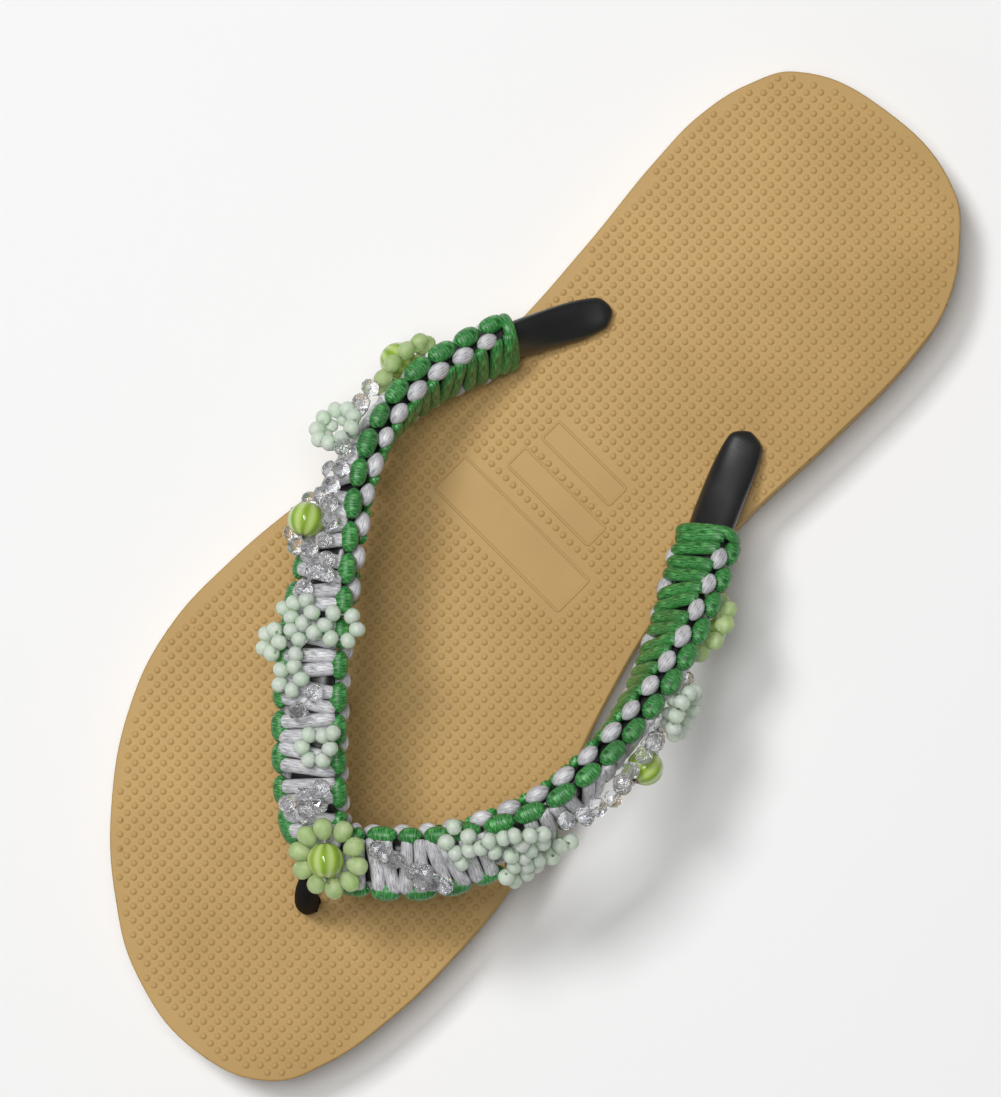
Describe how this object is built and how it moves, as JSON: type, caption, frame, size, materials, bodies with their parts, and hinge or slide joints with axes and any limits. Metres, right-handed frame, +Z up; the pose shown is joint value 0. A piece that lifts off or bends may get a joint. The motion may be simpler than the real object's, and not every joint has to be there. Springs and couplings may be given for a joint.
{
  "type": "flip-flop sandal",
  "caption": "Right flip-flop: one-piece tan rubber sole, black rubber thong wrapped in knotted satin cord, glass beads sewn along the outer face.",
  "frame": {"origin": "under the middle of the shoe's box, at the floor", "axes": "+Y to the toe, +X to the outer side of the foot, +Z up"},
  "size_m": [0.1036, 0.25, 0.0564],
  "materials": {
    "rubber_tan": "matte, pimpled footbed",
    "rubber_black": "satin",
    "satin_cord": "satin cord, green and silver grey",
    "glass_green": "polished",
    "glass_frosted": "frosted",
    "glass_mint": "milky",
    "glass_clear": "faceted, polished"
  },
  "bodies": {
    "root": {"sole": "rubber_tan", "strap": "rubber_black", "knot_wrap": "satin_cord", "crystals_inner_ball": "glass_clear", "crystals_inner_front": "glass_clear", "crystals_inner_heel": "glass_clear", "crystals_inner_side": "glass_clear", "crystals_outer_front": "glass_clear", "crystals_outer_heel": "glass_clear", "crystals_outer_loop": "glass_clear", "crystals_outer_side": "glass_clear", "glass_bead_front": "glass_green", "glass_bead_inner_heel": "glass_green", "glass_bead_inner_side": "glass_green", "glass_bead_outer_heel": "glass_green", "glass_bead_outer_side": "glass_green", "mint_inner_flower_1": "glass_mint", "mint_inner_flower_2": "glass_mint", "mint_inner_flower_3": "glass_mint", "mint_inner_flower_4": "glass_mint", "mint_inner_loop": "glass_mint", "mint_outer_flower_1": "glass_mint", "mint_outer_flower_2": "glass_mint", "mint_outer_flower_3": "glass_mint", "mint_outer_flower_4": "glass_mint", "mint_outer_flower_5": "glass_mint", "mint_outer_loop": "glass_mint", "petals_front": "glass_frosted", "petals_inner_heel": "glass_frosted", "petals_outer_heel": "glass_frosted"}
  },
  "joints": []
}
